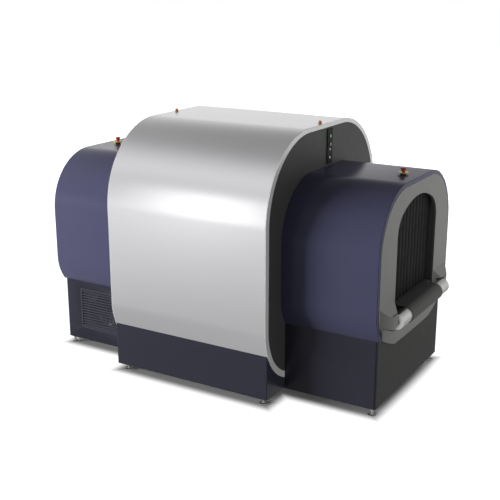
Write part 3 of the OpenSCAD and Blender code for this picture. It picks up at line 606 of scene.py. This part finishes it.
def buildFloor():
    deselectAll()
    bpy.ops.mesh.primitive_plane_add(size=studio["floorSize"])
    floor = bpy.context.object
    floor.name = "floor"
    material, tree, shader = blankMaterial("pale_floor")
    base = placeGroup(tree, surfaceGrain, Colour=(*[studio["floorTone"]] * 3, 1), Tint=0.01,
                      Roughness=0.8, Spread=0.05, Grain=60.0)
    tree.links.new(base.outputs["Roughness"], shader.inputs["Roughness"])
    shader.inputs["Specular IOR Level"].default_value = 0.0
    # to the camera the floor is as white as the background; to metal its glow fades towards the
    # machine, a painted shade in the reflection
    path = addNode(tree, "ShaderNodeLightPath")
    mirrored = mirrorMask(tree, path)
    unmirrored = mathNode(tree, "SUBTRACT", 1.0, mirrored)
    tree.links.new(tintColour(tree, base.outputs["Colour"], unmirrored),
                   shader.inputs["Base Color"])
    place = addNode(tree, "ShaderNodeTexCoord").outputs["Object"]
    reach = addNode(tree, "ShaderNodeVectorMath", operation="LENGTH")
    tree.links.new(place, reach.inputs[0])
    (nearReach, nearLevel), (farReach, farLevel) = studio["mirrorNear"], studio["mirrorFar"]
    fade = addNode(tree, "ShaderNodeMapRange", **{
        "From Min": nearReach, "From Max": farReach, "To Min": nearLevel, "To Max": farLevel})
    tree.links.new(reach.outputs["Value"], fade.inputs["Value"])
    spot = addNode(tree, "ShaderNodeSeparateXYZ")
    tree.links.new(place, spot.inputs[0])
    gaps = []
    for node in ("center_plinth", "entry_plinth"):  # the glow fades out in a band round the machine's footprint, a painted contact shade over the floor's real shadow
        beyond = []
        for axis, edge in zip("XY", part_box(node)[1]):
            away = mathNode(tree, "ABSOLUTE", spot.outputs[axis], 0)
            beyond.append(mathNode(tree, "SUBTRACT", away, edge))
        gaps.append(mathNode(tree, "MAXIMUM", *beyond))
    contactShadeMask = addNode(tree, "ShaderNodeMapRange", interpolation_type="SMOOTHSTEP",
                    **{"From Min": studio["contact"][0], "From Max": studio["contact"][1]})
    tree.links.new(mathNode(tree, "MINIMUM", *gaps), contactShadeMask.inputs["Value"])
    glow = mathNode(tree, "MULTIPLY", path.outputs["Is Camera Ray"], contactShadeMask.outputs[0])
    seen = mathNode(tree, "MULTIPLY", glow, studio["floorGlow"])
    reflectionShade = mathNode(tree, "MULTIPLY", mirrored, fade.outputs[0])
    shader.inputs["Emission Color"].default_value = (1, 1, 1, 1)
    tree.links.new(mathNode(tree, "ADD", seen, reflectionShade), shader.inputs["Emission Strength"])
    floor.data.materials.append(material)


buildWorld()
for name, box in softboxes.items():
    addSoftbox(name, **box)
buildFloor()
print("camera and studio set")


# silver cover

cover = {"halfLength": 0.555, "halfWidth": 0.752, "top": 1.596, "topRadius": 0.512, "lowZ": 0.478,
         "lowRadius": 0.388, "arcSteps": 48, "thickness": 0.005, "skinAngle": 23.25,
         "rimOut": 0.0055, "rimAngle": 67.74, "rimPaint": 0.0003, "edge": 0.002}
wallEdge = {"halfWidth": 0.714, "top": 1.57, "topRadius": 0.486, "lowZ": 0.478, "lowRadius": 0.35,
            "arcSteps": 48, "angle": 65.17}


def buildCover():
    skin = roundPath("cover_skin", cover, 0, cover["skinAngle"])
    editAll(skin)
    bpy.ops.transform.translate(value=(-cover["halfLength"], 0, 0))
    drawLine(0, 0, 2 * cover["halfLength"])
    leaveEdit()
    faceOutward(skin, (0, 0, 1))
    applyModifier(skin, "SOLIDIFY", thickness=cover["thickness"], offset=-1)
    rims = []
    for way in (1, -1):
        outer = roundPath("rim_outer", cover, 0, cover["rimAngle"])
        inner = roundPath("rim_inner", wallEdge, 0, wallEdge["angle"])
        rim = joinPieces([outer, inner], "rim")
        editAll(rim)
        bpy.ops.mesh.select_mode(type="EDGE")
        bpy.ops.mesh.select_all(action="SELECT")
        bpy.ops.mesh.bridge_edge_loops()
        bpy.ops.mesh.select_all(action="SELECT")
        bpy.ops.transform.translate(value=(way * cover["halfLength"], 0, 0))
        drawLine(0, 0, way * cover["rimOut"])
        leaveEdit()
        faceOutward(rim)
        softenEdges(rim, cover["edge"], 3, 50)
        rims.append(rim)
    smoothByAngle(skin, 30)
    whole = joinPieces([skin] + rims, "silver_cover")
    finishPiece(whole, silverPaint, ["center_cover"])
    # the rim faces take the pale copy of the silver, a painted highlight
    rimFrom = cover["halfLength"] + cover["rimPaint"]
    paintFaces(whole, rimPaintedHighlight, lambda face: abs(face.center.x) > rimFrom)


buildCover()
print("cover built")


# navy hoods

hood = {"startX": 0.559, "endX": 1.166, "panelX": 1.153, "halfWidth": 0.569, "top": 1.332,
        "topRadius": 0.37, "lowZ": 0.642, "lowRadius": 0.29, "arcSteps": 44, "seamAngle": 36.87,
        "rim": 0.026, "rimAngle": 41.23, "thickness": 0.004, "edge": 0.0035, "edgeSteps": 4}


def onOutline(point):  # on the hood's outer outline
    if point.z > hood["top"] - tolerance or abs(point.y) > hood["halfWidth"] - tolerance:
        return True
    topZ = hood["top"] - hood["topRadius"]
    if hood["lowZ"] <= point.z <= topZ:
        return False
    radius, middleZ = hood["topRadius"], topZ
    if point.z < hood["lowZ"]:
        radius, middleZ = hood["lowRadius"], hood["lowZ"]
    reach = math.hypot(abs(point.y) - hood["halfWidth"] + radius, point.z - middleZ)
    return abs(reach - radius) < tolerance


def buildHood():
    skin = roundPath("hood_skin", hood, 0, hood["seamAngle"])
    editAll(skin)
    bpy.ops.transform.translate(value=(hood["startX"], 0, 0))
    drawLine(0, 0, hood["endX"] - hood["startX"])
    leaveEdit()
    inner = roundPath("hood_inner", hood, hood["rim"], hood["rimAngle"])
    editAll(inner)
    bpy.ops.transform.translate(value=(hood["endX"], 0, 0))
    leaveEdit()
    shell = joinPieces([skin, inner], "hood_shell")
    atEnd = hood["endX"] - tolerance
    editEdges(shell, lambda a, b: min(a.x, b.x) > atEnd)
    bpy.ops.mesh.bridge_edge_loops()
    leaveEdit()
    # the free edge of the new ring goes back to the bezel
    editEdges(shell, lambda a, b: min(a.x, b.x) > atEnd and not (onOutline(a) or onOutline(b)))
    drawLine(0, 0, hood["panelX"] - hood["endX"])
    leaveEdit()
    faceOutward(shell, (0, 0, 1))
    editEdges(shell, lambda a, b: min(a.x, b.x) > atEnd and onOutline(a) and onOutline(b))
    bpy.ops.mesh.bevel(offset=hood["edge"], segments=hood["edgeSteps"], affect="EDGES")
    leaveEdit()
    applyModifier(shell, "SOLIDIFY", thickness=hood["thickness"], offset=-1)
    smoothByAngle(shell, 32)
    return shell


entryHood = buildHood()
exitHood = copyPiece(entryHood, "exit_hood_shell", flip=(-1, 1, 1))
entryHood.name = "entry_hood_shell"
finishPiece(entryHood, navyPaint, ["entry_hood"])
finishPiece(exitHood, navyPaint, ["exit_hood"])
print("hoods built")


# panels and mouldings with rounded edges

panels = {
    "entry_bezel": ("bezel_entry", 0.002, 2, bezelGrey, "bezel_plastic"),
    "exit_bezel": ("bezel_exit", 0.002, 2, bezelGrey, "bezel_plastic"),
    "roller_arms": ("arms", 0.003, 3, bezelGrey, "bezel_plastic"),
    "control_strip": ("controls_plate", 0.0012, 2, panelBlack, "black_plastic"),
    "lock_nuts": ("nuts", 0.0008, 1, brushedSteel, "steel"),
}
for node, (name, width, segments, material, slot) in panels.items():
    piece = nodeCopy(node, name)
    softenEdges(piece, width, segments)
    finishPiece(piece, material, [node])
print("panels built")


# side plinths, sheets that turn round the corner to the end panels

plinth = {"low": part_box("entry_plinth")[0], "high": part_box("entry_plinth")[1],
          "outX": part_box("end_panels")[1][0], "vent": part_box("vent_grille"), "corner": 0.014,
          "arcSteps": 8, "thickness": 0.004, "edge": 0.0012, "seam": 0.0004, "panelEdge": 0.0018}


def buildSheet(name, vented):  # the front sheet at the entry end
    (startX, _, lowZ), (_, side, highZ) = plinth["low"], plinth["high"]
    ventLow, ventHigh = plinth["vent"]
    turnX = plinth["outX"] - plinth["corner"]
    piece = startPath(name, -side, lowZ, startX)
    alongX = [startX, -ventHigh[0], -ventLow[0], turnX]
    for before, after in zip(alongX, alongX[1:]):
        drawLine(0, 0, after - before)
    drawCorner(turnX, -side + plinth["corner"], lowZ, plinth["arcSteps"])
    bpy.ops.mesh.select_all(action="SELECT")
    upZ = [lowZ, ventLow[2], ventHigh[2], highZ]
    for before, after in zip(upZ, upZ[1:]):
        drawLine(0, after - before)
    leaveEdit()
    faceOutward(piece, (0, -1, 0))
    if vented:
        editFaces(piece, lambda face: alongX[1] < face.center.x < alongX[2]
                  and upZ[1] < face.center.z < upZ[2])
        bpy.ops.mesh.delete(type="FACE")
        leaveEdit()
    applyModifier(piece, "SOLIDIFY", thickness=plinth["thickness"], offset=-1)
    softenEdges(piece, plinth["edge"])
    return piece


plain, vented = buildSheet("plinth_plain", False), buildSheet("plinth_vented", True)
far = copyPiece(plain, "plinth_far", flip=(1, -1, 1))
exitFar = copyPiece(plain, "plinth_exit_far", flip=(-1, -1, 1))
exitNear = copyPiece(vented, "plinth_exit_near", flip=(-1, 1, 1))
bpy.data.objects.remove(vented)
entryPlinth = joinPieces([plain, far], "plinth_entry")
exitPlinth = joinPieces([exitNear, exitFar], "plinth_exit")
finishPiece(entryPlinth, plinthNavyShade, ["entry_plinth"])
finishPiece(exitPlinth, plinthNavyShade, ["exit_plinth"])
print("side plinths built")


# middle plinth, a band of sheet with a way through at each end

middle = {"high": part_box("center_plinth")[1], "lowZ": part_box("center_plinth")[0][2],
          "corner": 0.005, "arcSteps": 5, "passY": plinth["high"][1] - plinth["thickness"],
          "passDown": 0.035}


def buildMiddle():
    halfX, halfY, highZ = middle["high"]
    lowZ, corner, steps = middle["lowZ"], middle["corner"], middle["arcSteps"]
    alongY = [corner - halfY, -middle["passY"], middle["passY"], halfY - corner]
    piece = startPath("plinth_middle", -halfY, lowZ, corner - halfX)
    for way in (1, -1):  # a long side, a corner, an end and the next corner
        drawLine(0, 0, way * 2 * (halfX - corner))
        drawCorner(way * (halfX - corner), way * (corner - halfY), lowZ, steps)
        for before, after in zip(alongY, alongY[1:]):
            drawLine(way * (after - before), 0)
        drawCorner(way * (halfX - corner), way * (halfY - corner), lowZ, steps)
    mergePoints()
    passZ = highZ - middle["passDown"]
    drawLine(0, passZ - lowZ)
    drawLine(0, highZ - passZ)
    leaveEdit()
    faceOutward(piece, (0, -1, 0))
    editFaces(piece, lambda face: abs(face.center.x) > halfX - tolerance
              and abs(face.center.y) < middle["passY"] and face.center.z < passZ)
    bpy.ops.mesh.delete(type="FACE")
    leaveEdit()
    applyModifier(piece, "SOLIDIFY", thickness=plinth["thickness"], offset=-1)
    softenEdges(piece, plinth["edge"])
    return piece


finishPiece(buildMiddle(), plinthNavyShade, ["center_plinth"])
print("middle plinth built")


# end panels, narrowed to meet the turned sheets

endPanels = nodeCopy("end_panels", "panels_end")
for way in (-1, 1):
    editPoints(endPanels, lambda point: way * point.y > plinth["high"][1] - tolerance)
    bpy.ops.transform.translate(value=(0, -way * (plinth["corner"] + plinth["seam"]), 0))
    leaveEdit()
softenEdges(endPanels, plinth["panelEdge"])
finishPiece(endPanels, charcoalPaint, ["end_panels"])
print("end panels built")


# vent grille, a frame with slats that slant up and inward

grille = {"low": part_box("vent_grille")[0], "high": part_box("vent_grille")[1], "border": 0.012,
          "count": 14, "slatFrom": 0.15, "slatTo": 0.35, "rise": 0.4, "edge": 0.0006}


def addBlock(name, low, high):
    deselectAll()
    bpy.ops.mesh.primitive_cube_add(size=1, location=[(a + b) / 2 for a, b in zip(low, high)],
                                    scale=[b - a for a, b in zip(low, high)])
    piece = bpy.context.object
    piece.name = name
    bpy.ops.object.transform_apply(location=True, rotation=True, scale=True)
    return piece


def buildGrille():
    low, high = Vector(grille["low"]), Vector(grille["high"])
    rim = addBlock("grille", low, high)
    editFaces(rim, lambda face: abs(face.normal.y) > 0.9)
    bpy.ops.mesh.inset(thickness=grille["border"], use_individual=True)
    bpy.ops.mesh.bridge_edge_loops()
    leaveEdit()
    softenEdges(rim, grille["edge"])
    border = grille["border"]
    pitch = (high.z - low.z - 2 * border) / grille["count"]
    slat = addBlock("slat",
                    (low.x + border, low.y, low.z + border + grille["slatFrom"] * pitch),
                    (high.x - border, high.y, low.z + border + grille["slatTo"] * pitch))
    editPoints(slat, lambda point: point.y > (low.y + high.y) / 2)
    bpy.ops.transform.translate(value=(0, 0, grille["rise"] * pitch))
    leaveEdit()
    softenEdges(slat, grille["edge"])
    slats = [copyPiece(slat, f"slat_{i}", move=(0, 0, i * pitch))
             for i in range(1, grille["count"])]
    return joinPieces([rim, slat] + slats, "grille")


finishPiece(buildGrille(), grilleNavy, ["vent_grille"])
print("grille built")


# conveyor rollers

drum = {"x": 1.21, "z": 0.56, "half": 0.387, "sleeve": 0.047, "middle": 0.048, "middleHalf": 0.25,
        "step": 0.001, "bearing": 0.0226, "seat": 0.02, "bore": 0.015, "round": 0.0025,
        "edge": 0.0005, "capPaint": 0.0006, "steps": 96}


def buildDrum():
    end, edge, middleEnd = drum["half"], drum["round"], drum["middleHalf"]
    half = [(middleEnd, drum["middle"]), (middleEnd + drum["step"], drum["sleeve"]),
            (end - edge, drum["sleeve"]), (end, drum["sleeve"] - edge), (end, drum["bearing"]),
            (end - drum["seat"], drum["bearing"]), (end - drum["seat"], drum["bore"])]
    otherHalf = [(-along, radius) for along, radius in reversed(half)]
    profile = otherHalf + half + otherHalf[:1]
    piece = lathe("drum_entry", "Y", (drum["x"], 0, drum["z"]), profile, drum["steps"])
    softenEdges(piece, drum["edge"], angle=40)
    return piece


entryDrum = buildDrum()
exitDrum = copyPiece(entryDrum, "drum_exit", move=(-2 * drum["x"], 0, 0))
finishPiece(entryDrum, turnedSteel, ["entry_roller"], "entry_drum")
finishPiece(exitDrum, turnedSteel, ["exit_roller"], "exit_drum")
for piece in (entryDrum, exitDrum):
    paintFaces(piece, capSteel, lambda face: abs(face.center.y) > drum["half"] - drum["capPaint"])
print("rollers built")


# belt, a loop of rubber with rounded edges

belt = {"x": 1.21, "z": 0.56, "inner": 0.0483, "outer": 0.0523, "half": 0.25, "steps": 40,
        "edge": 0.0012}


def buildBelt():
    side = -belt["half"]
    piece = startPath("belt_loop", side, belt["z"] + belt["outer"], -belt["x"])
    for way in (1, -1):
        drawLine(0, 0, way * 2 * belt["x"])
        bpy.ops.mesh.spin(steps=belt["steps"], angle=math.pi, axis=(0, -1, 0),
                          center=(way * belt["x"], side, belt["z"]))
    mergePoints()
    drawLine(2 * belt["half"], 0)
    leaveEdit()
    faceOutward(piece, (0, 0, 1))
    applyModifier(piece, "SOLIDIFY", thickness=belt["outer"] - belt["inner"], offset=-1)
    softenEdges(piece, belt["edge"], angle=50)
    return piece


finishPiece(buildBelt(), beltRubber, ["conveyor_belt"])
print("belt built")


# strip curtains

strips = {"count": 12, "half": 0.31, "gap": 0.001, "x": 1.128, "rodZ": 1.25, "tipZ": 0.624,
          "loop": 0.009, "rodHole": 0.0052, "loopEdge": 0.0008, "loopSteps": 28,
          "thickness": 0.003, "rows": 14, "across": 8, "crown": 0.0045, "sway": 0.0012, "waves": 4,
          "twist": 0.0008, "edge": 0.0012, "seed": 11}


def buildStrip(name, y, width, chance):
    top = strips["rodZ"] - strips["loop"]
    drop = (top - strips["tipZ"]) / strips["rows"]
    piece = startPath(name, y, top, strips["x"])
    before = 0.0
    for part in range(1, strips["across"] + 1):  # each strip is a little crowned
        now = strips["crown"] * (1 - (2 * part / strips["across"] - 1) ** 2)
        drawLine(width / strips["across"], 0, now - before)
        before = now
    bpy.ops.mesh.select_all(action="SELECT")
    bow, phase = chance.uniform(-1, 1) * strips["sway"], chance.uniform(0, math.tau)
    lean = chance.uniform(-1, 1) * strips["twist"]
    before = 0.0
    for row in range(1, strips["rows"] + 1):
        share = row / strips["rows"]
        now = bow * math.sin(phase + strips["waves"] * share) * share + lean * share
        drawLine(0, -drop, now - before)
        before = now
    leaveEdit()
    faceOutward(piece)
    smoothByAngle(piece, 60)
    applyModifier(piece, "SOLIDIFY", thickness=strips["thickness"], offset=0)
    softenEdges(piece, strips["edge"], angle=50)
    collar = lathe(name + "_loop", "Y", (strips["x"], y, strips["rodZ"]),
                   ringProfile(strips["rodHole"], strips["loop"], width), strips["loopSteps"])
    softenEdges(collar, strips["loopEdge"], 1, 40)
    return joinPieces([piece, collar], name)


def buildCurtain(name, seed):
    chance = random.Random(seed)
    pitch = 2 * strips["half"] / strips["count"]
    firstY = strips["gap"] / 2 - strips["half"]
    made = [buildStrip(f"{name}_{i}", firstY + i * pitch, pitch - strips["gap"], chance)
            for i in range(strips["count"])]
    return joinPieces(made, name)


entryCurtain = buildCurtain("curtain_entry", strips["seed"])
exitCurtain = copyPiece(entryCurtain, "curtain_exit", flip=(-1, 1, 1))
finishPiece(entryCurtain, curtainRubber, ["entry_curtain"], "entry_strips")
finishPiece(exitCurtain, curtainRubber, ["exit_curtain"], "exit_strips")
print("curtains built")


# levelling feet

foot = {"profile": [(0, 0), (0, 0.0255), (0.001, 0.0265), (0.0045, 0.0265), (0.006, 0.024),
                    (0.0072, 0.0179), (0.0085, 0.0159), (0.012, 0.0149), (0.012, 0.008)],
        "stud": 0.008, "thread": 0.0006, "pitch": 0.0025, "threadFrom": 0.014, "threadTo": 0.036,
        "top": 0.076, "steps": 40, "middle": (0.504, 0.6725), "side": (1.124, 0.482)}
footPlaces = [(x * place[0], y * place[1]) for place in (foot["middle"], foot["side"])
              for x in (-1, 1) for y in (-1, 1)]


def buildFoot():
    profile = list(foot["profile"])
    height = foot["threadFrom"]
    while height < foot["threadTo"]:  # the thread that shows below the nut
        profile += [(height, foot["stud"]),
                    (height + foot["pitch"] / 2, foot["stud"] - foot["thread"])]
        height += foot["pitch"]
    profile += [(height, foot["stud"]), (foot["top"], foot["stud"]), (foot["top"], 0)]
    piece = lathe("foot", "Z", (0, 0, 0), profile, foot["steps"])
    smoothByAngle(piece, 30)
    return piece


firstFoot = buildFoot()
feet = [copyPiece(firstFoot, f"foot_{i}", move=(x, y, 0))
        for i, (x, y) in enumerate(footPlaces)]
bpy.data.objects.remove(firstFoot)
finishPiece(joinPieces(feet, "feet"), brushedSteel, ["leveling_feet"])
print("feet built")


# emergency stops, button, key, lamps and beacons

stop = {"x": 1.062, "z": 1.332, "bore": 0.0093, "base": 0.018, "baseHigh": 0.009,
        "baseEdge": 0.0012, "disc": 0.033, "discHigh": 0.006, "discEdge": 0.002, "headZ": 0.021,
        "head": [(-0.011, 0), (-0.011, 0.009), (0, 0.009), (0, 0.0144), (0.003, 0.0137),
                 (0.007, 0.0128), (0.0095, 0.0131), (0.012, 0.0155), (0.0145, 0.0178),
                 (0.0165, 0.018), (0.0185, 0.0175), (0.0205, 0.0158), (0.022, 0.0128),
                 (0.0231, 0.008), (0.0235, 0)]}


def buildStops():
    x, z = stop["x"], stop["z"]
    base = lathe("stop_base", "Z", (x, 0, z),
                 ringProfile(stop["bore"], stop["base"], stop["baseHigh"]), 48)
    softenEdges(base, stop["baseEdge"], angle=40)
    disc = lathe("stop_disc", "Z", (x, 0, z + stop["baseHigh"]),
                 ringProfile(stop["bore"], stop["disc"], stop["discHigh"]), 64)
    softenEdges(disc, stop["discEdge"], 3, 40)
    head = lathe("stop_head", "Z", (x, 0, z + stop["headZ"]), stop["head"], 56)
    smoothByAngle(head, 40)
    rows = [(base, blackPlastic, "estop_bases", "black_plastic"),
            (disc, stopYellow, "estop_discs", "yellow_plastic")]
    for piece, material, node, slot in rows:
        other = copyPiece(piece, piece.name + "_exit", move=(-2 * x, 0, 0))
        finishPiece(joinPieces([piece, other], node + "_pair"), material, [node])
    exitHead = copyPiece(head, "stop_head_exit", move=(-2 * x, 0, 0))
    head.name = "stop_head_entry"
    finishPiece(head, stopRed, ["entry_estop"], "entry_stop")
    finishPiece(exitHead, stopRed, ["exit_estop"], "exit_stop")


controls = {"plateX": 0.565, "wallX": 0.559, "y": 0.0345, "buttonZ": 1.51313, "keyEdge": 0.0006,
            "lampZ": (1.43138, 1.38233),
            "button": [(0.004, 0), (0.004, 0.011), (0.0082, 0.011), (0.0094, 0.0099),
                       (0.01, 0.0078), (0.0096, 0.003), (0.0095, 0)],
            "lamp": [(-0.003, 0), (-0.003, 0.007), (0.0004, 0.007), (0.0012, 0.0062),
                     (0.0018, 0.004), (0.002, 0)]}


def buildControls():
    button = lathe("button_start", "X", (controls["wallX"], controls["y"], controls["buttonZ"]),
                   controls["button"], 40)
    smoothByAngle(button, 40)
    finishPiece(button, buttonGreen, ["start_button"], "start")
    key = nodeCopy("key_switch", "key_lock")
    softenEdges(key, controls["keyEdge"])
    finishPiece(key, keySteel, ["key_switch"], "key")
    lamps = []
    for height in controls["lampZ"]:
        lamp = lathe("lamp", "X", (controls["plateX"], controls["y"], height),
                     controls["lamp"], 32)
        smoothByAngle(lamp, 40)
        lamps.append(lamp)
    finishPiece(joinPieces(lamps, "lamps"), lampWhite, ["indicator_lamps"])


beacon = {"x": 0.528, "y": -0.037, "z": 1.596,
          "profile": [(0, 0), (0, 0.012), (0.0045, 0.012), (0.0056, 0.0108), (0.006, 0.01),
                      (0.013, 0.0098), (0.0155, 0.0088), (0.0178, 0.0062), (0.0188, 0.003),
                      (0.019, 0)]}


def buildBeacons():
    pair = []
    for side in (-1, 1):
        lamp = lathe("beacon", "Z", (side * beacon["x"], beacon["y"], beacon["z"]),
                     beacon["profile"], 40)
        smoothByAngle(lamp, 40)
        pair.append(lamp)
    finishPiece(joinPieces(pair, "beacons"), lampAmber, ["beacon_lamps"])


buildStops()
buildControls()
buildBeacons()
print("controls built")


# finishes of the nodes that show as they are

nodeFinishes = {
    wallGrey: ["entry_wall", "exit_wall"],
    frameGrey: ["base_frame", "gantry_stand", "conveyor_legs"],
    shieldGrey: ["entry_shield", "exit_shield"],
    linerCream: ["tunnel_liner"],
    brushedSteel: ["roller_axles", "roller_bearings", "conveyor_bed", "curtain_rods",
                   "entry_idler", "exit_idler"],
    turnedSteel: ["bearing_outer", "bearing_inner", "motor_pulley"],
    machinedAlloy: ["rotor_ring", "tube_cooler", "xray_tube"],
    darkMetal: ["collimator", "detector_array", "hv_generator", "counterweight", "gantry_motor",
                "computer", "power_unit"],
    boardGreen: ["data_module"],
    turnedBrass: ["slip_ring"],
    blackPlastic: ["brush_block", "fan_frame", "fan_impeller"],
    beltRubber: ["drive_belt"],
}
for material, names in nodeFinishes.items():
    for name in names:
        cadNodes[name].data.materials.clear()
        cadNodes[name].data.materials.append(material)
